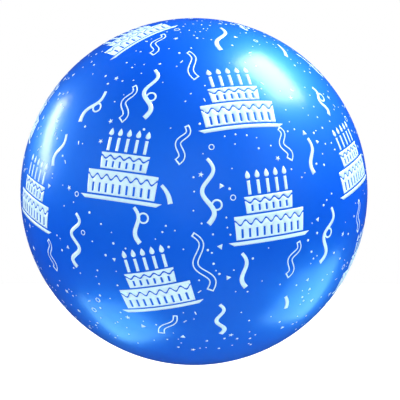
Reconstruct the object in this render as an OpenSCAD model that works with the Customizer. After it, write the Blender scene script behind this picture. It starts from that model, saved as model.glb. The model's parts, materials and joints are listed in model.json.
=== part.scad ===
// Large round latex balloon, inflated and tied, printed all round with a birthday pattern.
// The frame is the balloon's own: +Z runs up from the neck to the crown, and -Y is the front.
// The origin is the middle of the tied waist, where a ribbon goes round the neck.

/* [Balloon] */
// Diameter of the inflated balloon
balloon_d = 910; // [850:10:950]
// Thickness of the balloon's wall, a stand-in for the real 0.02 mm
wall = 0.6; // [0.5:0.1:0.8]
// Distance from the middle of the waist up to the lowest point of the round body
neck_drop = 19; // [17:1:22]
// Angle from straight down at which the round body turns into the neck's taper
shoulder_angle = 12; // [10:1:13]

/* [Neck] */
// Diameter of the gathered neck at the waist
waist_d = 14; // [12:1:16]
// Height of the straight waist that a ribbon fits round
waist_h = 6; // [5:0.5:7]
// Radius of the flare from the waist to the taper
flare_r = 8; // [7:1:9]
// Radius at which the thick neck ends and the thin wall begins
neck_rim_r = 40; // [35:1:50]
// Thickness of the unstretched latex round the neck
neck_wall = 1.4; // [1.2:0.1:1.6]

/* [Knot] */
// Diameter of the knot
knot_d = 26; // [24:1:28]
// Thickness of the strand that wraps round the knot
knot_strand_d = 15; // [14:0.5:15.5]
// Gap between parts that bend against each other
bend_gap = 0.3; // [0.3:0.1:0.5]

/* [Tail] */
// Width of the tail where it leaves the knot
tail_top_w = 12; // [11:1:13]
// Width of the flattened tail at the mouth
tail_mouth_w = 33; // [30:1:36]
// Length of the tail from its bend to the mouth
tail_len = 32; // [28:1:34]
// Thickness of the two flattened walls of the tail
tail_t = 3; // [2.5:0.5:3]
// Diameter of the rolled bead round the mouth
lip_d = 3.2; // [3:0.2:3.6]

/* [Print] */
// Thickness of the printed ink
ink_t = 0.3; // [0.3:0.05:0.4]
// Width of a printed birthday cake
cake_w = 196; // [180:2:200]
// Width of a printed streamer at its lower end
streamer_w = 11; // [9:1:12]
// Width of the line round an open streamer
line_w = 2.6; // [2.4:0.2:3]

/* [Hidden] */
$fn = 72;

latex_blue = [0.05, 0.33, 0.88];
thick_blue = [0.02, 0.16, 0.60];
ink_white = [0.95, 0.97, 1.00];

// Gap under the ink, so that the ink and the latex are two separate solids
ink_gap = 0.05;
body_r = balloon_d / 2;
waist_r = waist_d / 2;
centre_z = neck_drop + body_r;

// The taper: a straight cone from the end of the flare to the round body
shoulder_r = body_r * sin(shoulder_angle);
shoulder_z = centre_z - body_r * cos(shoulder_angle);
flare_z = waist_h / 2;
taper_slope = atan((shoulder_z - flare_z - flare_r) / (shoulder_r - waist_r - flare_r));
flare_end = 90 - taper_slope;
taper_r = waist_r + flare_r * (1 - cos(flare_end));
taper_z = flare_z + flare_r * sin(flare_end);
function taper_at(r) = taper_z + (shoulder_z - taper_z) * (r - taper_r) / (shoulder_r - taper_r);
rim_z = taper_at(neck_rim_r);
// A wall measured straight up through the sloping taper
upright_wall = wall / cos(taper_slope);
upright_neck_wall = neck_wall / cos(taper_slope);

// The knot bends on the waist about Y, and the tail bends under the knot about X
neck_bend_z = -8.5;
dome_r = waist_r;
knot_z = neck_bend_z - knot_strand_d / 2 - 0.5;
knot_core_r = (knot_d - knot_strand_d) / 2;
tail_bend_z = knot_z - knot_strand_d / 2 - 1;
tail_pivot_r = tail_t;
mouth_z = tail_bend_z - tail_len;
lip_r = lip_d / 2;
// Half the distance between the two runs of the bead, which hug the flattened tail
lip_half_gap = tail_t / 2 + lip_r + 0.1;
lip_half_w = tail_mouth_w / 2 - 0.3;

// The loop of a curled streamer, and the width of its line
loop_r = 12.5;
loop_line = 4;

// Tools for the print

// Puts flat art on the round body, from azimuth (0 is the front) and latitude, turned by lean
module on_body(azimuth, latitude, lean) {
    translate([0, 0, centre_z])
        rotate([90 - latitude, 0, azimuth])
            rotate([0, 0, lean])
                translate([0, 0, body_r * 0.9])
                    linear_extrude(body_r * 0.2)
                        children();
}

// Keeps what lies in the thin film of ink just outside the round body
module ink_film() {
    color(ink_white)
        difference() {
            intersection() {
                translate([0, 0, centre_z]) sphere(body_r + ink_gap + ink_t, $fn = 180);
                union() children();
            }
            translate([0, 0, centre_z]) sphere(body_r + ink_gap, $fn = 180);
        }
}

// Middle line of a streamer at t from 0 to 1: it sways in half waves about a straight line
function sway(t, length, waves) = [0.09 * length * sin(180 * waves * t), length * (0.5 - t)];
function along(t, length, waves) = sway(t + 0.01, length, waves) - sway(t - 0.01, length, waves);
function beside(t, length, waves, off) =
    let (d = along(t, length, waves))
    sway(t, length, waves) + off * [d.y, -d.x] / norm(d);
function taper_width(t, width) = width * (0.65 + 0.35 * t);

// A streamer: a wavy ribbon that widens towards its lower end, made smaller all round by inset
module streamer(length, waves, width = streamer_w, inset = 0) {
    steps = 5 * waves;
    function at(i) = inset / length + (1 - 2 * inset / length) * i / steps;
    function off(i) = taper_width(at(i), width) / 2 - inset;
    polygon([
        for (i = [0:steps]) beside(at(i), length, waves, off(i)),
        for (i = [steps:-1:0]) beside(at(i), length, waves, -off(i))
    ]);
}

// A streamer with a small loop on its right, at the given share of its length above the middle
module curled_streamer(length, waves, curl) {
    streamer(length, waves);
    translate(beside(0.5 - curl, length, waves, -streamer_w))
        difference() {
            circle(loop_r, $fn = 24);
            circle(loop_r - loop_line, $fn = 24);
        }
}

// A streamer drawn as a thin outline
module open_streamer(length, waves) {
    difference() {
        streamer(length, waves, 1.5 * streamer_w);
        streamer(length, waves, 1.5 * streamer_w, line_w);
    }
}

// A row of drips, as a band between the icing and the cake below it
module drip_line(width, depth, drips) {
    steps = 4 * drips;
    function drip(i) = depth * cos(360 * i * drips / steps);
    polygon([
        for (i = [0:steps])
            [width * (i / steps - 0.5) * 1.1, drip(i) + 2],
        for (i = [steps:-1:0])
            [width * (i / steps - 0.5) * 1.1, drip(i) - 2]
    ]);
}

// One layer of the cake: a wavy gap sets off the icing, and upright slots flute the cake below it
module cake_layer(width, height, drips, slots) {
    difference() {
        polygon([
            [-width / 2, height],
            [width / 2, height],
            [width / 2 - 3, 0],
            [3 - width / 2, 0]
        ]);
        translate([0, height * 0.72]) drip_line(width, height * 0.1, drips);
        for (i = [1:slots])
            translate([width * (i / (slots + 1) - 0.5) - 2.5, 4])
                square([5, height * 0.38]);
    }
}

module candle(height) {
    translate([-3.5, 0]) square([7, height]);
    translate([0, height + 4])
        polygon([[0, 18], [5.5, 8], [5, 3], [2, 0], [-2, 0], [-5, 3], [-5.5, 8]]);
}

// The birthday cake: a plate, two layers and five candles
module cake() {
    scale_by = cake_w / 196;
    scale([scale_by, scale_by]) {
        translate([0, -80])
            polygon([[-98, 8], [98, 8], [86, 0], [-86, 0]]);
        translate([0, -68]) cake_layer(168, 52, 7, 9);
        translate([0, -12]) cake_layer(116, 36, 5, 6);
        for (i = [-2:2])
            translate([22 * i, 28]) candle(30);
    }
}

// Places of the print. Cakes have azimuth, latitude and lean. Streamers have length and waves as
// well, and curled ones the share of their length at which the loop sits above the middle.
front_cakes = [
    [-22, 26, 0],
    [17, 47, 0],
    [22, 15, 0],
    [-12, -6, 15]
];
front_streamers = [
    [-36, 2, 0, 130, 4],
    [-8, 19, 28, 44, 1],
    [40, 26, -8, 80, 2],
    [14, -3, 8, 86, 2],
    [8, -20, 5, 100, 3],
    [29, -17, 15, 42, 1]
];
front_curled = [
    [-19, 48, 5, 130, 3, -0.15],
    [-42, 41, -18, 90, 2, 0.1],
    [-16, 10, 12, 80, 2, 0.2],
    [4, 20, 0, 140, 3, -0.25],
    [42, 2, -16, 130, 3, 0.1]
];
front_open = [
    [-27, 44, 0, 90, 3],
    [-1, 59, 14, 90, 2],
    [-4, 33, -12, 84, 3],
    [30.5, 31, 4, 74, 3],
    [2, 0, 16, 140, 3],
    [29, -2, -18, 84, 3],
    [-8, -22, -28, 76, 2]
];

// The left and right sides share their streamers, but not their cakes
right_cakes = [
    [-28, 21, 0],
    [-21, -15, 0],
    [24, 4, 0],
    [20, 42, 0]
];
left_cakes = [
    [31, 11, 0],
    [3, 32, 0],
    [-14, 4, 0],
    [-2, -24, 0]
];
side_streamers = [
    [41, 26, -8, 80, 2],
    [3, -3, 6, 100, 3],
    [22, -22, 8, 90, 3]
];
side_curled = [
    [-31, 40, -6, 76, 3, 0.2],
    [-6, 50, 8, 90, 2, -0.1],
    [5, 14, 0, 60, 1, 0.1],
    [-24, -34, 5, 90, 3, -0.2]
];
side_open = [
    [42, -6, 8, 76, 3],
    [-29, 2, 0, 80, 3],
    [17, -14, -10, 70, 2]
];

crown_cakes = [
    [-76, 69, 105],
    [142, 69, 0]
];
crown_streamers = [
    [27, 72, -27, 120, 2],
    [70, 60, -50, 60, 1]
];
crown_curled = [
    [88, 75, -60, 66, 2, 0.1],
    [-150, 66, 20, 110, 3, -0.1]
];
crown_open = [
    [-31, 68, 14, 90, 3]
];

module pattern(turn, cakes, streamers, curled, open) {
    for (p = cakes)
        on_body(turn + p[0], p[1], p[2]) cake();
    for (p = streamers)
        on_body(turn + p[0], p[1], p[2]) streamer(p[3], p[4]);
    for (p = curled)
        on_body(turn + p[0], p[1], p[2]) curled_streamer(p[3], p[4], p[5]);
    for (p = open)
        on_body(turn + p[0], p[1], p[2]) open_streamer(p[3], p[4]);
}

// Parts

// A solid of the balloon's outside, made smaller by inset, for the wall's two faces
module body_solid(inset, upright_inset) {
    translate([0, 0, centre_z]) sphere(body_r - inset, $fn = 180);
    translate([0, 0, rim_z + upright_inset])
        cylinder(h = shoulder_z - rim_z, r1 = neck_rim_r, r2 = shoulder_r, $fn = 180);
}

module envelope() {
    color(latex_blue)
        difference() {
            body_solid(0, 0);
            body_solid(wall, upright_wall);
            translate([0, 0, rim_z - 1]) cylinder(h = 4, r = neck_rim_r, $fn = 180);
        }
}

// The thick neck: gathered solid at the waist, a hollow flare above it, cupped below for the knot
module neck() {
    outside = [
        for (a = [0:15:flare_end])
            [waist_r + flare_r * (1 - cos(a)), flare_z + flare_r * sin(a)]
    ];
    color(thick_blue)
        difference() {
            rotate_extrude($fn = 120)
                polygon(concat(
                    [[0, -waist_h / 2], [waist_r, -waist_h / 2]],
                    outside,
                    [
                        [neck_rim_r - ink_gap, rim_z],
                        [neck_rim_r - ink_gap, rim_z + upright_wall],
                        [taper_r, taper_z + upright_neck_wall],
                        [0, taper_z]
                    ]
                ));
            bend_cylinder(dome_r + bend_gap, 3 * waist_d);
        }
}

// A cylinder along the knot's bending axis
module bend_cylinder(r, length) {
    translate([0, 0, neck_bend_z])
        rotate([90, 0, 0])
            cylinder(h = length, r = r, center = true);
}

// A cylinder along the tail's bending axis
module tail_cylinder(r, length) {
    translate([0, 0, tail_bend_z])
        rotate([0, 90, 0])
            cylinder(h = length, r = r, center = true);
}

module knot() {
    color(thick_blue)
        difference() {
            union() {
                bend_cylinder(dome_r, waist_d - 1);
                translate([0, 0, knot_z])
                    rotate_extrude()
                        intersection() {
                            translate([knot_core_r, 0]) circle(knot_strand_d / 2);
                            translate([0, -knot_strand_d]) square([knot_d, 2 * knot_strand_d]);
                        }
            }
            tail_cylinder(tail_pivot_r + bend_gap, tail_top_w + 1);
        }
}

function tail_half_w(t) = (tail_top_w + (tail_mouth_w - tail_top_w) * sin(90 * t)) / 2;

// The flattened tail, which widens from the knot to the mouth
module tail() {
    steps = 6;
    color(latex_blue) {
        tail_cylinder(tail_pivot_r, tail_top_w);
        translate([0, tail_t / 2, tail_bend_z])
            rotate([90, 0, 0])
                linear_extrude(tail_t)
                    polygon([
                        for (i = [0:steps]) [tail_half_w(i / steps), -tail_len * i / steps],
                        for (i = [steps:-1:0]) [-tail_half_w(i / steps), -tail_len * i / steps]
                    ]);
    }
}

// The rolled bead: two straight runs along the flattened mouth, joined round its ends
module rolled_lip() {
    color(thick_blue)
        translate([0, 0, mouth_z + lip_r])
            for (s = [0, 1])
                rotate([0, 0, 180 * s]) {
                    translate([0, lip_half_gap, 0])
                        rotate([0, 90, 0])
                            cylinder(h = 2 * lip_half_w, r = lip_r, center = true);
                    translate([lip_half_w, 0, 0])
                        rotate([0, 0, -90])
                            rotate_extrude(angle = 180)
                                translate([lip_half_gap, 0]) circle(lip_r);
                }
}

// The print, screen by screen

module print_front() {
    ink_film() pattern(0, front_cakes, front_streamers, front_curled, front_open);
}

module print_right() {
    ink_film() pattern(90, right_cakes, side_streamers, side_curled, side_open);
}

module print_back() {
    ink_film() pattern(180, front_cakes, front_streamers, front_curled, front_open);
}

module print_left() {
    ink_film() pattern(270, left_cakes, side_streamers, side_curled, side_open);
}

module print_crown() {
    ink_film() pattern(0, crown_cakes, crown_streamers, crown_curled, crown_open);
}

envelope();
neck();
knot();
tail();
rolled_lip();
print_front();
print_right();
print_back();
print_left();
print_crown();
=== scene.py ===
"""The looks of a large round latex balloon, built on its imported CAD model. Lengths are in metres."""

import json
import math
import random

import bpy
import numpy as np
from mathutils import Matrix, Vector
from mathutils.geometry import delaunay_2d_cdt
from mathutils.kdtree import KDTree


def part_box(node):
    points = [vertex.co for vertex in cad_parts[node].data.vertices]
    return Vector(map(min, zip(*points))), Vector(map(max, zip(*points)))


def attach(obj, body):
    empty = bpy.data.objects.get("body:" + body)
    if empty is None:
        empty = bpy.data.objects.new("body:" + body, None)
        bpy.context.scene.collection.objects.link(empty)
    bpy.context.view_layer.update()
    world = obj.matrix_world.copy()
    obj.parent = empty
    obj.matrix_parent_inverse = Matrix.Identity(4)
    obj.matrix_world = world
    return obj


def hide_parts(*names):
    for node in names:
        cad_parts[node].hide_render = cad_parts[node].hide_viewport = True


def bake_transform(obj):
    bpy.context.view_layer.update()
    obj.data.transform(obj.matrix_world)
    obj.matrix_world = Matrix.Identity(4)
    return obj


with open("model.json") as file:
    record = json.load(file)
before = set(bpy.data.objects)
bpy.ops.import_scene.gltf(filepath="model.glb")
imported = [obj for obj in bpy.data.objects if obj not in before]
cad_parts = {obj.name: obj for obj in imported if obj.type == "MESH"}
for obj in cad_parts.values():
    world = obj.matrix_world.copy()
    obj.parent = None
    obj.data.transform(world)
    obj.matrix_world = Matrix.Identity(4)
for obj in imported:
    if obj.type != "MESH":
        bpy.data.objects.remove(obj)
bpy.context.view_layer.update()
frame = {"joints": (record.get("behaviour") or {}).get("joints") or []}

# ---------------------------------------------------------------- places, from the CAD

MM = 0.001
TURN = 2 * math.pi

skin_low, skin_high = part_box("envelope")
neck_low, neck_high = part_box("neck")
lip_low, lip_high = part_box("rolled_lip")
pivot_z = {joint["name"]: joint["pos_m"][2] for joint in frame["joints"]}

# Design values of the neck and the knot that the boxes don't give
WAIST_R = 7 * MM
FLARE_R = 8 * MM
FLARE_Z = 3 * MM
SHOULDER_ANGLE = math.radians(12)
KNOT_STRAND_R = 7.5 * MM

BODY_R = (skin_high.x - skin_low.x) / 2
CENTRE = Vector((0, 0, skin_high.z - BODY_R))
SHOULDER_R = BODY_R * math.sin(SHOULDER_ANGLE)
RIM_R = (neck_high.x - neck_low.x) / 2
RIM_Z = skin_low.z
TAIL_BEND_Z = pivot_z["tail_bend"]
KNOT_MID_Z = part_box("knot")[0].z + KNOT_STRAND_R
LIP_R = (lip_high.z - lip_low.z) / 2
MOUTH_Z = lip_low.z + LIP_R
MOUTH_HALF_W = (lip_high.x - lip_low.x) / 2 - LIP_R
MOUTH_HALF_T = (lip_high.y - lip_low.y) / 2 - LIP_R

# How finely the skin is made: its segments round the axis, and its steps down the profile. On the
# underside a step is a share of the radius, or UNDERSIDE_STEP where that is more.
SEGMENTS = 288
NUB_STEP = math.radians(0.35)
NUB_END = math.radians(4)
BODY_STEP = math.radians(1.25)
BODY_END = math.radians(160)
UNDERSIDE_STEP = 1.5 * MM
UNDERSIDE_SHARE = 0.03

# Sizes of what the skin and the neck show in detail
SHOULDER_EASE = 28 * MM
FOLD_DEPTH = 1.5 * MM
FOLD_FULL_R = 10 * MM
FOLD_END_R = 95 * MM
NUB_HEIGHT = 1.6 * MM
NUB_R = 9 * MM
TAPER_END_R = 20 * MM
NECK_BOTTOM_Z = -13 * MM
NECK_PINCH = 0.5 * MM

# Sizes of the knot and the tail
KNOT_CREASE = 0.22 * MM
KNOT_VOXEL = 0.45 * MM
TAIL_TUCK = 5 * MM
TAIL_TOP_HALF_W = 5.2 * MM
TAIL_TOP_HALF_T = 4.2 * MM
TAIL_FLAT_HALF_T = 1.5 * MM
TAIL_WALL = 0.45 * MM

# Sizes of the print, in mm
STREAMER_W = 11.0
STREAMER_SWAY = 0.09  # of its length, to either side
LINE_W = 2.6
LOOP_R = 12.5
LOOP_LINE = 4.0
GAP_HALF = 2.0  # of the wavy gap between icing and cake
LAYER_SLOPE = 3.0
FLUTE_W = 5.0
FLUTE_LIFT = 4.0
CANDLE_W = 7.0
CANDLE_H = 30.0
CANDLE_PITCH = 22.0

# Confetti: how many pieces, the tries for each, and the gap round it in mm
SIDE_CONFETTI = 210
CROWN_CONFETTI = 100
CROWN_FROM = 62  # degrees of latitude
TRIES_EACH = 6
CONFETTI_GAP = 6.0

# Heights of the ink's two faces over the latex
INK_LOW = 0.04 * MM
INK_HIGH = 0.26 * MM


# ---------------------------------------------------------------- mesh tools

def new_object(name, points, faces):
    mesh = bpy.data.meshes.new(name)
    mesh.from_pydata([tuple(p) for p in points], [], [tuple(f) for f in faces])
    mesh.polygons.foreach_set("use_smooth", [True] * len(mesh.polygons))
    mesh.update()
    piece = bpy.data.objects.new(name, mesh)
    bpy.context.scene.collection.objects.link(piece)
    return piece


def ring_faces(rings, segments, first=0):
    """Quads between successive rings of points, each ring closed on itself."""
    return [
        (
            first + i * segments + j,
            first + i * segments + (j + 1) % segments,
            first + (i + 1) * segments + (j + 1) % segments,
            first + (i + 1) * segments + j,
        )
        for i in range(rings - 1)
        for j in range(segments)
    ]


def apply_modifiers(piece):
    graph = bpy.context.evaluated_depsgraph_get()
    mesh = bpy.data.meshes.new_from_object(piece.evaluated_get(graph))
    piece.modifiers.clear()
    piece.data = mesh
    mesh.polygons.foreach_set("use_smooth", [True] * len(mesh.polygons))


def smoothstep(low, high, x):
    t = min(max((x - low) / (high - low), 0), 1)
    return t * t * (3 - 2 * t)


# ---------------------------------------------------------------- shape of the latex

def body_bottom_z(r):
    """Height of the underside at radius r: the taper, eased into the round body."""
    round_z = CENTRE.z - math.sqrt(BODY_R**2 - r * r)
    shoulder_z = CENTRE.z - math.sqrt(BODY_R**2 - SHOULDER_R**2)
    taper_z = RIM_Z + (shoulder_z - RIM_Z) * (r - RIM_R) / (SHOULDER_R - RIM_R)
    share = smoothstep(SHOULDER_R + SHOULDER_EASE, SHOULDER_R - SHOULDER_EASE, r)
    return round_z + (taper_z - round_z) * share


def gathers(azimuth, r, z):
    """How far the folds that run into the tied waist stand out at a point. The crown has none."""
    if z > CENTRE.z:
        return 0
    twist = azimuth + 0.9 * smoothstep(30 * MM, 0, r)
    waves = (
        0.50 * math.cos(9 * twist + 0.4)
        + 0.34 * math.cos(14 * twist + 2.1)
        + 0.26 * math.cos(23 * twist + 4.0)
    )
    folds = 1 - 1.6 * abs(waves)
    depth = FOLD_DEPTH * smoothstep(FOLD_END_R, FOLD_FULL_R, r) ** 2.2
    return depth * folds


def lathe(profile):
    """Points of a surface turned round the upright axis, with the folds standing out from it."""
    points = []
    for i, (r, z) in enumerate(profile):
        before, after = profile[max(i - 1, 0)], profile[min(i + 1, len(profile) - 1)]
        along = Vector((after[0] - before[0], after[1] - before[1])).normalized()
        for j in range(SEGMENTS):
            azimuth = TURN * j / SEGMENTS
            out = gathers(azimuth, r, z)
            wide, high = r - along.y * out, z + along.x * out
            points.append((wide * math.cos(azimuth), wide * math.sin(azimuth), high))
    return points


def crown_nub(polar):
    """The small thick button that every balloon has at its crown."""
    return NUB_HEIGHT * math.exp(-((polar * BODY_R / NUB_R) ** 2))


def skin_profile():
    """Radius and height down the skin, from beside the crown to its tucked edge at the rim."""
    profile = []
    polar = math.radians(0.4)
    while polar < BODY_END:
        r = BODY_R + crown_nub(polar)
        profile.append((r * math.sin(polar), CENTRE.z + r * math.cos(polar)))
        polar += NUB_STEP if polar < NUB_END else BODY_STEP
    r = profile[-1][0]
    while r > RIM_R + 2 * UNDERSIDE_STEP:
        r -= max(UNDERSIDE_STEP, UNDERSIDE_SHARE * r)
        profile.append((r, body_bottom_z(r)))
    profile.append((RIM_R, body_bottom_z(RIM_R)))
    profile.append((RIM_R - 1.5 * MM, body_bottom_z(RIM_R) + 0.4 * MM))
    return profile


def make_skin():
    """The inflated wall, from the crown down to the rim of the thick neck."""
    profile = skin_profile()
    points = [(0, 0, CENTRE.z + BODY_R + crown_nub(0))] + lathe(profile)
    faces = [(0, 1 + j, 1 + (j + 1) % SEGMENTS) for j in range(SEGMENTS)]
    faces += [f[::-1] for f in ring_faces(len(profile), SEGMENTS, 1)]
    return new_object("skin", points, faces)


def neck_profile():
    """Radius and height down the neck, from its rim, tucked under the skin, to inside the knot."""
    taper_rows, ease_rows, flare_rows, waist_rows = 22, 8, 14, 23
    profile = [(RIM_R + 0.4 * MM, body_bottom_z(RIM_R) + 0.5 * MM)]
    for i in range(taper_rows):
        r = RIM_R + (TAPER_END_R - RIM_R) * i / taper_rows
        profile.append((r, body_bottom_z(r)))

    # The flare stops where its slope is the taper's
    slope = math.atan2(body_bottom_z(30 * MM) - body_bottom_z(22 * MM), 8 * MM)
    flare_end = math.pi / 2 - slope
    taper_end_z = body_bottom_z(TAPER_END_R)
    flare_top_r = WAIST_R + FLARE_R * (1 - math.cos(flare_end))
    flare_top_z = FLARE_Z + FLARE_R * math.sin(flare_end)
    for i in range(ease_rows):
        t = i / (ease_rows - 1)
        profile.append((
            TAPER_END_R + (flare_top_r - TAPER_END_R) * t,
            taper_end_z + (flare_top_z - taper_end_z) * t,
        ))
    for i in range(1, flare_rows + 1):
        a = flare_end * (1 - i / flare_rows)
        profile.append((WAIST_R + FLARE_R * (1 - math.cos(a)), FLARE_Z + FLARE_R * math.sin(a)))
    for i in range(1, waist_rows + 1):
        t = i / waist_rows
        pinch = NECK_PINCH * math.sin(math.pi * min(2 * t, 1))
        profile.append((WAIST_R - pinch, FLARE_Z + (NECK_BOTTOM_Z - FLARE_Z) * t))
    return profile


def make_neck():
    """The thick neck, whose folds run together into the tied waist."""
    profile = neck_profile()
    faces = [f[::-1] for f in ring_faces(len(profile), SEGMENTS)]
    return new_object("gathered_neck", lathe(profile), faces)


def tube(path, radii, sides=20):
    """Points and faces of a closed tube along a path, with a radius for each path point."""
    points = []
    up = Vector((0.1, 0.2, 1)).normalized()
    for i, p in enumerate(path):
        along = (path[min(i + 1, len(path) - 1)] - path[max(i - 1, 0)]).normalized()
        side = along.cross(up).normalized()
        over = side.cross(along).normalized()
        for k in range(sides):
            a = TURN * k / sides
            points.append(p + (side * math.cos(a) + over * math.sin(a)) * radii[i])
    faces = ring_faces(len(path), sides)
    faces.append(tuple(range(sides))[::-1])
    faces.append(tuple(range(len(points) - sides, len(points))))
    return points, faces


def knot_strand(turns, start, reach, top, bottom, thick, steps=70):
    """A strand that winds down round the knot's upright axis, drawn in and thinner at both ends."""
    path, radii = [], []
    for i in range(steps + 1):
        t = i / steps
        a = start + TURN * turns * t
        tuck = math.sin(math.pi * t) ** 0.5
        r = reach * (0.55 + 0.45 * tuck)
        z = top + (bottom - top) * smoothstep(0, 1, t)
        path.append(Vector((r * math.cos(a), r * math.sin(a), z)))
        radii.append(thick * (0.72 + 0.28 * tuck))
    return tube(path, radii)


def knot_core():
    """The latex inside the wraps, which narrows towards the tail."""
    path = [Vector((0, 0, z * MM)) for z in range(-4, -25, -2)]
    return tube(path, [6.6 * MM - 0.024 * MM * i * i for i in range(len(path))])


def make_knot():
    """The overhand knot: the neck wrapped once round itself and pulled through, drawn tight."""
    top, bottom = KNOT_MID_Z + 6.2 * MM, KNOT_MID_Z - 6.0 * MM
    inner = knot_strand(
        turns=1.15, start=2.6, reach=7.6 * MM, thick=4.9 * MM,
        top=top - 1.5 * MM, bottom=bottom + 2.0 * MM,
    )
    outer = knot_strand(
        turns=0.62, start=-2.6, reach=9.4 * MM, thick=3.9 * MM,
        top=top - 0.5 * MM, bottom=bottom + 0.4 * MM,
    )
    points, faces = [], []
    for tube_points, tube_faces in (inner, outer, knot_core()):
        faces += [tuple(len(points) + k for k in face) for face in tube_faces]
        points += tube_points
    piece = new_object("knot_wraps", points, faces)
    remesh = piece.modifiers.new("merge", "REMESH")
    remesh.mode = "VOXEL"
    remesh.voxel_size = KNOT_VOXEL
    relax = piece.modifiers.new("relax", "SMOOTH")
    relax.iterations = 7
    apply_modifiers(piece)
    crease_knot(piece)
    return piece


def crease_knot(piece):
    """Fine creases that run along the wraps of the knot."""
    for v in piece.data.vertices:
        a = math.atan2(v.co.y, v.co.x)
        rise = (v.co.z - KNOT_MID_Z) / MM
        creases = 0.5 * math.sin(1.9 * rise + 2.3 * a) + 0.5 * math.sin(3.1 * rise - 1.7 * a + 1)
        v.co += v.normal * KNOT_CREASE * creases


def tail_outline(t, angle):
    """A point on the flattened tail's wall: t runs from the knot to the mouth."""
    spread = math.sin(math.pi / 2 * min(t * 1.05, 1)) ** 1.3
    half_w = TAIL_TOP_HALF_W + (MOUTH_HALF_W - TAIL_TOP_HALF_W) * spread
    half_t = (
        TAIL_TOP_HALF_T
        + (TAIL_FLAT_HALF_T - TAIL_TOP_HALF_T) * smoothstep(0, 0.45, t)
        + (MOUTH_HALF_T - TAIL_FLAT_HALF_T) * smoothstep(0.6, 1, t)
    )
    x, y = half_w * math.cos(angle), half_t * math.sin(angle)

    # Pleats near the knot, and a ruffle that grows towards the mouth
    pleat = 0.55 * MM * (1 - smoothstep(0.1, 0.75, t))
    y += pleat * math.sin(9 * angle + 1) * abs(math.sin(angle))
    ruffle = smoothstep(0.35, 1, t)
    y += 1.3 * MM * ruffle * math.sin(210 * x + 0.6) + 0.5 * MM * ruffle * math.sin(470 * x)
    top_z = TAIL_BEND_Z + TAIL_TUCK
    z = top_z + (MOUTH_Z - top_z) * t - 1.1 * MM * ruffle * math.sin(150 * x + 2)
    return Vector((x, y, z))


def make_tail():
    """The tail's two walls, one closed sleeve of thin latex."""
    segments, rows = 192, 46
    points = [
        tail_outline(i / (rows - 1), TURN * j / segments)
        for i in range(rows)
        for j in range(segments)
    ]
    piece = new_object("tail_walls", points, [f[::-1] for f in ring_faces(rows, segments)])
    solid = piece.modifiers.new("wall", "SOLIDIFY")
    solid.thickness = TAIL_WALL
    solid.offset = -1
    apply_modifiers(piece)
    return piece


def make_lip():
    """The rolled bead, following the mouth, and slightly uneven as rolled latex is."""
    steps, sides = 240, 18
    points = []
    for i in range(steps):
        a = TURN * i / steps
        here = tail_outline(1, a)
        along = (tail_outline(1, a + 0.01) - tail_outline(1, a - 0.01)).normalized()
        out = along.cross(Vector((0, 0, 1))).normalized()
        up = out.cross(along).normalized()
        for k in range(sides):
            b = TURN * k / sides
            roll = LIP_R * (1 + 0.05 * math.sin(7 * a + 2 * b) + 0.03 * math.sin(19 * a + 1))
            points.append(here + (out * math.cos(b) + up * math.sin(b)) * roll)
    faces = ring_faces(steps, sides)
    last = (steps - 1) * sides
    faces += [
        (last + k, last + (k + 1) % sides, (k + 1) % sides, k)
        for k in range(sides)
    ]
    return new_object("rolled_bead", points, [face[::-1] for face in faces])


# ---------------------------------------------------------------- flat art for the print, in mm

def sway(t, length, waves):
    """A point on a streamer's middle line: t runs from its upper to its lower end."""
    across = STREAMER_SWAY * length * math.sin(math.pi * waves * t)
    return Vector((across, length * (0.5 - t)))


def beside(t, length, waves, off):
    """A point at a distance to the left of that line."""
    along = (sway(t + 0.01, length, waves) - sway(t - 0.01, length, waves)).normalized()
    return sway(t, length, waves) + Vector((along.y, -along.x)) * off


def streamer(length, waves, width=STREAMER_W, inset=0.0):
    """A wavy ribbon that widens towards its lower end, as one outline, made smaller by inset."""
    steps = 16 * waves
    end = inset / length
    left, right = [], []
    for i in range(steps + 1):
        t = end + (1 - 2 * end) * i / steps
        half = width * (0.65 + 0.35 * t) / 2 - inset
        left.append(beside(t, length, waves, half))
        right.append(beside(t, length, waves, -half))
    return left + right[::-1]


def curled_streamer(length, waves, curl):
    """A streamer with a small loop on its right, at a share of its length above the middle."""
    x, y = beside(0.5 - curl, length, waves, -STREAMER_W)
    loop = [circle(LOOP_R, x, y), circle(LOOP_R - LOOP_LINE, x, y)]
    return [[streamer(length, waves)], loop]


def open_streamer(length, waves):
    """A streamer drawn as a thin outline."""
    outer = streamer(length, waves, 1.5 * STREAMER_W)
    inner = streamer(length, waves, 1.5 * STREAMER_W, LINE_W)
    return [[outer, inner]]


def circle(r, x=0.0, y=0.0, sides=40):
    return [
        Vector((x + r * math.cos(TURN * i / sides), y + r * math.sin(TURN * i / sides)))
        for i in range(sides)
    ]


def polygon(*corners):
    return [Vector(corner) for corner in corners]


def bar(x, y, width, height):
    return polygon((x, y), (x + width, y), (x + width, y + height), (x, y + height))


def cake_layer(width, height, drips, slots, base):
    """The icing above the wavy gap, and the cake below it with its upright slots."""
    steps = 14 * drips
    middle, depth, half = base + height * 0.72, height * 0.1, width / 2

    def edge(rise):
        points = []
        for i in range(steps + 1):
            y = middle + depth * math.cos(TURN * i * drips / steps) + rise
            reach = half - LAYER_SLOPE * (1 - (y - base) / height)
            points.append(Vector((2 * reach * (i / steps - 0.5), y)))
        return points

    icing = edge(GAP_HALF)[::-1] + polygon((-half, base + height), (half, base + height))
    body = edge(-GAP_HALF) + polygon((half - LAYER_SLOPE, base), (LAYER_SLOPE - half, base))
    flutes = [
        bar(
            width * (i / (slots + 1) - 0.5) - FLUTE_W / 2, base + FLUTE_LIFT,
            FLUTE_W, height * 0.38,
        )
        for i in range(1, slots + 1)
    ]
    return [[[icing]], [[body] + flutes]]


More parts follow.
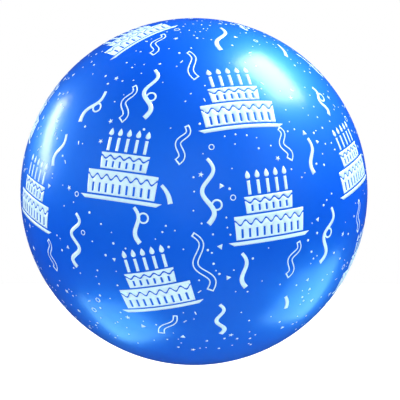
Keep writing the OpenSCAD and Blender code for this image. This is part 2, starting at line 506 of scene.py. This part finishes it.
def candle(x, y):
    """A candle, and its flame with a pinched tip."""
    flame = []
    for i in range(24):
        a = TURN * i / 24
        upper = math.sin(a) > 0
        pinch = 1 - 0.75 * math.sin(a) ** 2 if upper else 1
        rise = (12 if upper else 5.5) * math.sin(a)
        flame.append(Vector((x + 5.6 * math.cos(a) * pinch, y + CANDLE_H + 9.5 + rise)))
    return [[[bar(x - CANDLE_W / 2, y, CANDLE_W, CANDLE_H)]], [[flame]]]


def cake():
    """The shapes of the birthday cake: its plate, two layers and five candles."""
    shapes = [[[polygon((-98, -72), (-86, -80), (86, -80), (98, -72))]]]
    shapes += cake_layer(width=168, height=52, drips=7, slots=9, base=-68)
    shapes += cake_layer(width=116, height=36, drips=5, slots=6, base=-12)
    for i in range(-2, 3):
        shapes += candle(CANDLE_PITCH * i, 28)
    return shapes


# ---------------------------------------------------------------- print layout, in degrees and mm

# Cakes have azimuth, latitude and lean. Streamers have length and waves as well, and curled ones
# the share of their length at which the loop sits above the middle. The left and right sides share
# their streamers, but not their cakes.
FRONT_CAKES = [(-22, 26, 0), (17, 47, 0), (22, 15, 0), (-12, -6, 15)]
RIGHT_CAKES = [(-28, 21, 0), (-21, -15, 0), (24, 4, 0), (20, 42, 0)]
LEFT_CAKES = [(31, 11, 0), (3, 32, 0), (-14, 4, 0), (-2, -24, 0)]
CROWN_CAKES = [(-76, 69, 105), (142, 69, 0)]
FRONT = {
    "plain": [
        (-36, 2, 0, 130, 4),
        (-8, 19, 28, 44, 1),
        (40, 26, -8, 80, 2),
        (14, -3, 8, 86, 2),
        (8, -20, 5, 100, 3),
        (29, -17, 15, 42, 1),
    ],
    "curled": [
        (-19, 48, 5, 130, 3, -0.15),
        (-42, 41, -18, 90, 2, 0.1),
        (-16, 10, 12, 80, 2, 0.2),
        (4, 20, 0, 140, 3, -0.25),
        (42, 2, -16, 130, 3, 0.1),
    ],
    "open": [
        (-27, 44, 0, 90, 3),
        (-1, 59, 14, 90, 2),
        (-4, 33, -12, 84, 3),
        (30.5, 31, 4, 74, 3),
        (2, 0, 16, 140, 3),
        (29, -2, -18, 84, 3),
        (-8, -22, -28, 76, 2),
    ],
}
SIDE = {
    "plain": [(41, 26, -8, 80, 2), (3, -3, 6, 100, 3), (22, -22, 8, 90, 3)],
    "curled": [
        (-31, 40, -6, 76, 3, 0.2),
        (-6, 50, 8, 90, 2, -0.1),
        (5, 14, 0, 60, 1, 0.1),
        (-24, -34, 5, 90, 3, -0.2),
    ],
    "open": [(42, -6, 8, 76, 3), (-29, 2, 0, 80, 3), (17, -14, -10, 70, 2)],
}
CROWN = {
    "plain": [(27, 72, -27, 120, 2), (70, 60, -50, 60, 1)],
    "curled": [(88, 75, -60, 66, 2, 0.1), (-150, 66, 20, 110, 3, -0.1)],
    "open": [(-31, 68, 14, 90, 3)],
}


# ---------------------------------------------------------------- ink on the round body

def resampled(outline, step):
    """The outline with extra points, so that it can follow the curve of the balloon."""
    points = []
    for a, b in zip(outline, outline[1:] + outline[:1]):
        parts = max(1, math.ceil((b - a).length / step))
        points += [a.lerp(b, k / parts) for k in range(parts)]
    return points


def inside(points, outlines):
    """Even-odd test of many points against the outlines of one part."""
    x, y = points[:, 0], points[:, 1]
    odd = np.zeros(len(points), bool)
    for outline in outlines:
        for a, b in zip(outline, outline[1:] + outline[:1]):
            if a.y != b.y:
                spans = (a.y > y) != (b.y > y)
                odd ^= spans & (x < a.x + (b.x - a.x) * (y - a.y) / (b.y - a.y))
    return odd


def flat_mesh(parts, step=3.0, fill=9.0, clear=2.5):
    """Points and triangles of a flat shape in mm. Each of its parts is an outline and its holes.
    Outlines get a point every step. Inside, points lie fill apart, and clear of the outlines."""
    parts = [[resampled(o, step) for o in part] for part in parts]
    points, edges = [], []
    for outline in (o for part in parts for o in part):
        first, n = len(points), len(outline)
        points += outline
        edges += [(first + i, first + (i + 1) % n) for i in range(n)]
    border = np.array([tuple(p) for p in points])
    low, high = border.min(0), border.max(0)
    grid = np.array([
        (x, y)
        for x in np.arange(low[0] + fill / 2, high[0], fill)
        for y in np.arange(low[1] + fill / 2, high[1], fill)
    ]).reshape(-1, 2)
    gaps = np.linalg.norm(grid[:, None] - border[None], axis=2).min(1) if len(grid) else grid[:, 0]
    within = np.zeros(len(grid), bool)
    for part in parts:
        within |= inside(grid, part)
    points += [Vector(p) for p in grid[within & (gaps > clear)]]
    made = delaunay_2d_cdt(points, edges, [], 0, 1e-4)
    flat = np.array([tuple(p) for p in made[0]])
    triangles = np.array([tuple(t) for t in made[2]])
    middles = flat[triangles].mean(1)
    keep = np.zeros(len(triangles), bool)
    for part in parts:
        keep |= inside(middles, part)
    return [Vector(p) for p in flat], [tuple(int(k) for k in t) for t in triangles[keep]]


def boundary(triangles):
    """The directed edges that only one triangle uses."""
    used = {(a, b) for t in triangles for a, b in zip(t, t[1:] + t[:1])}
    return [(a, b) for a, b in used if (b, a) not in used]


def placing(azimuth, latitude, lean):
    """Turns flat art, which faces +Z, to face outwards at that azimuth and latitude."""
    return (
        Matrix.Rotation(math.radians(azimuth), 3, "Z")
        @ Matrix.Rotation(math.radians(90 - latitude), 3, "X")
        @ Matrix.Rotation(math.radians(lean), 3, "Z")
    )


def film(shape, place):
    """A flat shape laid on the round body as a thin closed film of ink: its points and faces."""
    flat, triangles = shape
    points = []
    for height in (INK_LOW, INK_HIGH):
        for p in flat:
            x, y = p.x * MM, p.y * MM
            up = math.sqrt(BODY_R**2 - x * x - y * y)
            points.append(CENTRE + place @ (Vector((x, y, up)) * ((BODY_R + height) / BODY_R)))
    n = len(flat)
    top = [tuple(n + k for k in t) for t in triangles]
    under = [t[::-1] for t in triangles]
    walls = [(a, b, n + b, n + a) for a, b in boundary(triangles)]
    return points, top, under + walls


class Ink:
    """Collects the films of one screen, and makes one object of them."""

    def __init__(self):
        self.points, self.top, self.rest = [], [], []

    def add(self, shape, place):
        points, top, rest = film(shape, place)
        first = len(self.points)
        self.points += points
        self.top += [tuple(first + k for k in f) for f in top]
        self.rest += [tuple(first + k for k in f) for f in rest]

    def turned(self, degrees):
        spin = Matrix.Rotation(math.radians(degrees), 3, "Z")
        copy = Ink()
        copy.points = [spin @ p for p in self.points]
        copy.top, copy.rest = list(self.top), list(self.rest)
        return copy

    def make(self, name):
        piece = new_object(name, self.points, self.top + self.rest)
        smooth = [True] * len(self.top) + [False] * len(self.rest)
        piece.data.polygons.foreach_set("use_smooth", smooth)
        return piece


CAKE_SHAPES = [flat_mesh(shape) for shape in cake()]


def screen(cakes, streamers):
    """One printing screen: its cakes and its three kinds of streamer."""
    ink = Ink()
    for row in cakes:
        for shape in CAKE_SHAPES:
            ink.add(shape, placing(*row))
    for azimuth, latitude, lean, *shape in streamers["plain"]:
        ink.add(flat_mesh([[streamer(*shape)]]), placing(azimuth, latitude, lean))
    for azimuth, latitude, lean, *shape in streamers["curled"]:
        ink.add(flat_mesh(curled_streamer(*shape)), placing(azimuth, latitude, lean))
    for azimuth, latitude, lean, *shape in streamers["open"]:
        ink.add(flat_mesh(open_streamer(*shape)), placing(azimuth, latitude, lean))
    return ink


def star(r, inner_r):
    return [
        Vector((math.cos(TURN * i / 10), math.sin(TURN * i / 10))) * (inner_r, r)[i % 2]
        for i in range(10)
    ]


def confetti_shape(rng):
    """Outlines of a small piece of confetti, and the radius it takes up, in mm. Four in five are
    dots, and the rest are triangles, rings, stars and short bars."""
    kind = rng.random()
    if kind < 0.80:
        r = rng.choice((1.4, 1.7, 2.1, 2.8))
        return [circle(r, sides=14)], r
    if kind < 0.88:
        r = rng.uniform(5, 7.5)
        return [circle(r, sides=3)], r
    if kind < 0.92:
        r = rng.uniform(5.5, 7.5)
        return [circle(r, sides=28), circle(r - 1.8, sides=28)], r
    if kind < 0.96:
        return [star(6.5, 2.4)], 6.5
    return [bar(-4.5, -1.1, 9, 2.2)], 4.6


def scatter(ink, taken, latitudes, middle, half_turn, count, seed):
    """Scatters confetti between two latitudes, clear of what is already printed."""
    rng = random.Random(seed)
    placed = []
    low, high = (math.sin(math.radians(latitude)) for latitude in latitudes)
    for _ in range(count * TRIES_EACH):
        if len(placed) == count:
            break
        azimuth = middle + rng.uniform(-half_turn, half_turn)
        latitude = math.degrees(math.asin(rng.uniform(low, high)))
        outlines, r = confetti_shape(rng)
        place = placing(azimuth, latitude, rng.uniform(0, 360))
        spot = place @ Vector((0, 0, BODY_R)) + CENTRE
        clear = (r + CONFETTI_GAP) * MM
        if taken.find(spot)[2] < clear or any((spot - p).length < clear + q for p, q in placed):
            continue
        placed.append((spot, r * MM))
        ink.add(flat_mesh([outlines], step=2.5), place)


def tree_of(inks):
    points = [p for ink in inks for p in ink.points]
    tree = KDTree(len(points))
    for i, p in enumerate(points):
        tree.insert(p, i)
    tree.balance()
    return tree


def make_prints():
    front = screen(FRONT_CAKES, FRONT)
    screens = {
        "front": front,
        "right": screen(RIGHT_CAKES, SIDE).turned(90),
        "back": front.turned(180),
        "left": screen(LEFT_CAKES, SIDE).turned(270),
        "crown": screen(CROWN_CAKES, CROWN),
    }
    taken = tree_of(screens.values())
    for i, name in enumerate(("front", "right", "back", "left")):
        scatter(screens[name], taken, (-36, CROWN_FROM), 90 * i, 45, SIDE_CONFETTI, 7 + i)
    scatter(screens["crown"], taken, (CROWN_FROM, 89), 0, 180, CROWN_CONFETTI, 11)
    return {f"print_{name}": ink.make(f"ink_{name}") for name, ink in screens.items()}


# ---------------------------------------------------------------- materials

THIN_BLUE = (0.006, 0.150, 0.860)
DEEP_BLUE = (0.004, 0.112, 0.780)
THICK_BLUE = (0.001, 0.030, 0.330)
CYAN_GLOSS = (0.26, 0.56, 1.0)
CYAN_COAT = (0.35, 0.85, 1.0)
INK_WHITE = (0.60, 0.83, 0.94)
INK_OVER_BLUE = (0.10, 0.46, 0.90)
FLOOR_TONES = (0.93, 0.93, 0.94), (0.97, 0.97, 0.97)


def new_material(name):
    """An empty node material: itself, its nodes and its links."""
    material = bpy.data.materials.new(name)
    material.use_nodes = True
    nodes = material.node_tree.nodes
    nodes.clear()
    return material, nodes, material.node_tree.links


def node(nodes, kind, **values):
    """A new node, with values for its sockets or its own settings."""
    made = nodes.new(kind)
    for key, value in values.items():
        if key in made.inputs:
            made.inputs[key].default_value = value
        else:
            setattr(made, key, value)
    return made


def noise(nodes, links, where, scale, detail=3.0, roughness=0.5):
    """The value of a noise texture, from 0 to 1."""
    made = node(nodes, "ShaderNodeTexNoise", Scale=scale, Detail=detail, Roughness=roughness)
    links.new(where, made.inputs["Vector"])
    return made.outputs["Fac"]


def ramp(nodes, links, value, stops):
    """A colour ramp through (position, colour) stops."""
    made = nodes.new("ShaderNodeValToRGB")
    elements = made.color_ramp.elements
    for i, (place, colour) in enumerate(stops):
        spot = elements[i] if i < len(elements) else elements.new(place)
        spot.position = place
        spot.color = (*colour, 1)
    links.new(value, made.inputs["Fac"])
    return made.outputs["Color"]


def maths(nodes, links, operation, a, b, clamp=False):
    """The result of a Math node. Both a and b are a number or a socket."""
    made = nodes.new("ShaderNodeMath")
    made.operation = operation
    made.use_clamp = clamp
    for i, value in enumerate((a, b)):
        if isinstance(value, (int, float)):
            made.inputs[i].default_value = value
        else:
            links.new(value, made.inputs[i])
    return made.outputs[0]


def mapped(nodes, links, value, low, high, to_low, to_high):
    """The value turned smoothly from the range low..high into the range to_low..to_high."""
    made = node(nodes, "ShaderNodeMapRange", **{
        "From Min": low, "From Max": high, "To Min": to_low, "To Max": to_high,
    })
    made.interpolation_type = "SMOOTHSTEP"
    links.new(value, made.inputs["Value"])
    return made.outputs["Result"]


def mixed(nodes, links, share, a, b):
    """The colour between a and b. Each of the three is a value or a socket."""
    made = node(nodes, "ShaderNodeMix", data_type="RGBA")
    for socket, value in ((0, share), (6, a), (7, b)):
        if isinstance(value, tuple):
            made.inputs[socket].default_value = (*value, 1)
        elif isinstance(value, (int, float)):
            made.inputs[socket].default_value = value
        else:
            links.new(value, made.inputs[socket])
    return made.outputs[2]


def bumped(nodes, links, shader, height, strength, distance):
    """Gives the shader a bump from a height."""
    bump = node(nodes, "ShaderNodeBump", Strength=strength, Distance=distance)
    links.new(height, bump.inputs["Height"])
    links.new(bump.outputs["Normal"], shader.inputs["Normal"])


def thick_places(nodes, links, where):
    """How thick the skin is, from 0 to 1: thick round the neck and at the crown's button."""
    axes = nodes.new("ShaderNodeSeparateXYZ")
    links.new(where, axes.inputs[0])
    flat = nodes.new("ShaderNodeCombineXYZ")
    links.new(axes.outputs["X"], flat.inputs["X"])
    links.new(axes.outputs["Y"], flat.inputs["Y"])
    length = nodes.new("ShaderNodeVectorMath")
    length.operation = "LENGTH"
    links.new(flat.outputs[0], length.inputs[0])
    radius, height = length.outputs["Value"], axes.outputs["Z"]
    near_neck = mapped(nodes, links, radius, 0.012, 0.115, 0.85, 0.0)
    below = mapped(nodes, links, height, 0.2, 0.4, 1.0, 0.0)
    near_button = mapped(nodes, links, radius, 0.004, 0.022, 0.8, 0.0)
    above = mapped(nodes, links, height, 0.8, 0.85, 0.0, 1.0)
    neck_share = maths(nodes, links, "MULTIPLY", near_neck, below)
    button_share = maths(nodes, links, "MULTIPLY", near_button, above)
    return maths(nodes, links, "ADD", neck_share, button_share, clamp=True)


def latex_material(name, thick=None):
    """Glossy dyed latex, deeper blue where it is thick. A given thick, from 0 to 1, is the same
    all over. Without it, the thick places are those of the inflated skin."""
    material, nodes, links = new_material(name)
    where = nodes.new("ShaderNodeTexCoord").outputs["Object"]
    cloud = noise(nodes, links, where, 3.2, 4)
    fine = noise(nodes, links, where, 60, 5, 0.6)
    tone = maths(nodes, links, "ADD", cloud, maths(nodes, links, "MULTIPLY", fine, 0.35))
    colour = ramp(nodes, links, tone, [(0.35, DEEP_BLUE), (0.95, THIN_BLUE)])
    share = thick_places(nodes, links, where) if thick is None else thick
    colour = mixed(nodes, links, share, colour, THICK_BLUE)

    # A broad cyan gloss from the latex, and a crisper one from its surface
    shader = node(nodes, "ShaderNodeBsdfPrincipled", **{
        "IOR": 2.0,
        "Specular IOR Level": 1.0,
        "Specular Tint": (*CYAN_GLOSS, 1),
        "Coat Weight": 1.0,
        "Coat Roughness": 0.22,
        "Coat IOR": 1.28,
        "Coat Tint": (*CYAN_COAT, 1),
    })
    links.new(colour, shader.inputs["Base Color"])
    rough = mapped(nodes, links, cloud, 0.3, 0.7, 0.46, 0.52)
    links.new(rough, shader.inputs["Roughness"])
    pores = noise(nodes, links, where, 420, 3)
    bumped(nodes, links, shader, pores, strength=0.05, distance=0.0004)

    # A little light comes through
    glow = nodes.new("ShaderNodeBsdfTranslucent")
    links.new(colour, glow.inputs["Color"])
    mix = nodes.new("ShaderNodeMixShader")
    mix.inputs[0].default_value = 0.15
    links.new(shader.outputs[0], mix.inputs[1])
    links.new(glow.outputs[0], mix.inputs[2])
    out = nodes.new("ShaderNodeOutputMaterial")
    links.new(mix.outputs[0], out.inputs["Surface"])
    return material


def ink_material():
    """White screen ink on stretched latex: a little blue shows through where the film is thin."""
    material, nodes, links = new_material("white_ink")
    where = nodes.new("ShaderNodeTexCoord").outputs["Object"]
    patches = noise(nodes, links, where, 24, 4, 0.6)
    flecks = noise(nodes, links, where, 520, 2)
    pinholes = mapped(nodes, links, flecks, 0.66, 0.72, 0.0, 0.55)
    thin = mapped(nodes, links, patches, 0.35, 0.75, 0.02, 0.14)
    share = maths(nodes, links, "MAXIMUM", pinholes, thin)
    colour = mixed(nodes, links, share, INK_WHITE, INK_OVER_BLUE)
    shader = node(nodes, "ShaderNodeBsdfPrincipled", **{"Coat Weight": 0.25, "Coat Roughness": 0.12})
    links.new(colour, shader.inputs["Base Color"])
    rough = mapped(nodes, links, patches, 0.3, 0.7, 0.32, 0.44)
    links.new(rough, shader.inputs["Roughness"])
    bumped(nodes, links, shader, flecks, strength=0.12, distance=0.0003)
    out = nodes.new("ShaderNodeOutputMaterial")
    links.new(shader.outputs[0], out.inputs["Surface"])
    return material


def floor_material():
    material, nodes, links = new_material("pale_floor")
    where = nodes.new("ShaderNodeTexCoord").outputs["Object"]
    shader = node(nodes, "ShaderNodeBsdfPrincipled", Roughness=0.9)
    tone = ramp(nodes, links, noise(nodes, links, where, 2), list(enumerate(FLOOR_TONES)))
    links.new(tone, shader.inputs["Base Color"])
    out = nodes.new("ShaderNodeOutputMaterial")
    links.new(shader.outputs[0], out.inputs["Surface"])
    return material


# ---------------------------------------------------------------- studio

CAMERA_DISTANCE = 2.2
CAMERA_RISE = math.radians(20)
FRAME_SHARE = 0.868  # of the picture's width, taken by the balloon
FRAME_SHIFT = 0.015, -0.021
SOFTBOX_DISTANCE = 2.4
WORLD_LEVEL = 0.05
FLOOR_Z = -1.1
FLOOR_HALF = 2.6
FILL_DISTANCE = 8
FILL_R = 3.5
FILL_TILT = math.radians(65)
FILL_RADIANCE = 2.8
WHITE = (1.0, 1.0, 1.0)
COOL = (0.35, 0.92, 1.0)


def make_camera():
    back = Vector((0, -math.cos(CAMERA_RISE), math.sin(CAMERA_RISE)))
    data = bpy.data.cameras.new("camera")
    half = math.tan(math.asin(BODY_R / CAMERA_DISTANCE))
    data.lens = FRAME_SHARE * data.sensor_width / (2 * half)
    data.shift_x, data.shift_y = FRAME_SHIFT
    camera = bpy.data.objects.new("camera", data)
    camera.location = CENTRE + back * CAMERA_DISTANCE
    camera.rotation_euler = back.to_track_quat("Z", "Y").to_euler()
    bpy.context.scene.collection.objects.link(camera)
    bpy.context.scene.camera = camera
    return camera


def add_softbox(camera, name, start, end, width, radiance, colour=WHITE):
    """A long softbox that faces the balloon. It runs between two directions, each given as
    right, up and towards the camera. width is in degrees."""
    view = camera.rotation_euler.to_matrix()
    first = (view @ Vector(start)).normalized() * SOFTBOX_DISTANCE
    last = (view @ Vector(end)).normalized() * SOFTBOX_DISTANCE
    away = (first + last).normalized()
    along = (last - first).normalized()
    across = away.cross(along)
    data = bpy.data.lights.new(name, "AREA")
    data.shape = "RECTANGLE"
    data.size = (last - first).length
    data.size_y = 2 * SOFTBOX_DISTANCE * math.tan(math.radians(width) / 2)
    data.energy = radiance * math.pi * data.size * data.size_y
    data.color = colour
    lamp = bpy.data.objects.new(name, data)
    lamp.location = CENTRE + away * SOFTBOX_DISTANCE
    lamp.rotation_euler = Matrix((along, across, away)).transposed().to_euler()
    lamp.visible_camera = False
    bpy.context.scene.collection.objects.link(lamp)


def add_fills():
    """Six broad round lights in a ring, which soften every side alike and leave no highlight."""
    for turn in range(0, 360, 60):
        data = bpy.data.lights.new(f"fill_{turn}", "AREA")
        data.shape = "DISK"
        data.size = 2 * FILL_R
        data.energy = FILL_RADIANCE * (math.pi * FILL_R) ** 2
        lamp = bpy.data.objects.new(f"fill_{turn}", data)
        swing = Matrix.Rotation(math.radians(turn), 4, "Z") @ Matrix.Rotation(FILL_TILT, 4, "X")
        out = Matrix.Translation((0, 0, FILL_DISTANCE))
        lamp.matrix_world = Matrix.Translation(CENTRE) @ swing @ out
        lamp.visible_glossy = False
        lamp.visible_camera = False
        bpy.context.scene.collection.objects.link(lamp)


def make_world():
    """White behind the balloon, but dim as a light, so that the softboxes stand out in its gloss."""
    world = bpy.data.worlds.new("studio")
    world.use_nodes = True
    nodes, links = world.node_tree.nodes, world.node_tree.links
    nodes.clear()
    path = nodes.new("ShaderNodeLightPath")
    level = node(nodes, "ShaderNodeMix", data_type="FLOAT")
    level.inputs["A"].default_value = WORLD_LEVEL
    level.inputs["B"].default_value = 1.0
    links.new(path.outputs["Is Camera Ray"], level.inputs["Factor"])
    background = nodes.new("ShaderNodeBackground")
    background.inputs["Color"].default_value = (1, 1, 1, 1)
    links.new(level.outputs["Result"], background.inputs["Strength"])
    out = nodes.new("ShaderNodeOutputWorld")
    links.new(background.outputs[0], out.inputs["Surface"])
    bpy.context.scene.world = world


def make_floor():
    around = ((-1, -1), (1, -1), (1, 1), (-1, 1))
    corners = [(x * FLOOR_HALF, y * FLOOR_HALF, FLOOR_Z) for x, y in around]
    floor = new_object("floor", corners, [(0, 1, 2, 3)])
    floor.data.materials.append(floor_material())
    floor.visible_glossy = False


def make_studio():
    camera = make_camera()
    make_world()
    make_floor()
    add_fills()
    add_softbox(camera, "key", (0.35, 0.92, -0.08), (0.73, 0.68, 0.12), 21, 28)
    add_softbox(camera, "left_strip", (-0.72, 0.52, -0.38), (-0.97, 0.10, -0.18), 9, 18)
    add_softbox(camera, "low_right", (0.87, -0.49, -0.10), (0.50, -0.78, -0.34), 34, 5.0, COOL)
    add_softbox(camera, "low_left", (-0.64, -0.76, -0.06), (-0.26, -0.91, -0.30), 34, 5.2, COOL)


# ---------------------------------------------------------------- the balloon

bpy.context.scene.view_settings.view_transform = "Standard"
make_studio()

latex = latex_material("blue_latex")
thick_latex = latex_material("thick_blue_latex", 0.55)
white_ink = ink_material()

skin = make_skin()
skin.data.materials.append(latex)
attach(skin, "balloon")
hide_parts("envelope")

neck = make_neck()
neck.data.materials.append(latex)
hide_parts("neck")
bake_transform(neck)

knot = make_knot()
knot.data.materials.append(thick_latex)
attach(knot, "knot")
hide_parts("knot")

tail = make_tail()
tail.data.materials.append(thick_latex)
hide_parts("tail")
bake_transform(tail)

lip = make_lip()
lip.data.materials.append(thick_latex)
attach(lip, "tail")
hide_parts("rolled_lip")

for cad_node, piece in make_prints().items():
    piece.data.materials.append(white_ink)
    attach(piece, "balloon")
    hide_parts(cad_node)

bpy.context.view_layer.update()
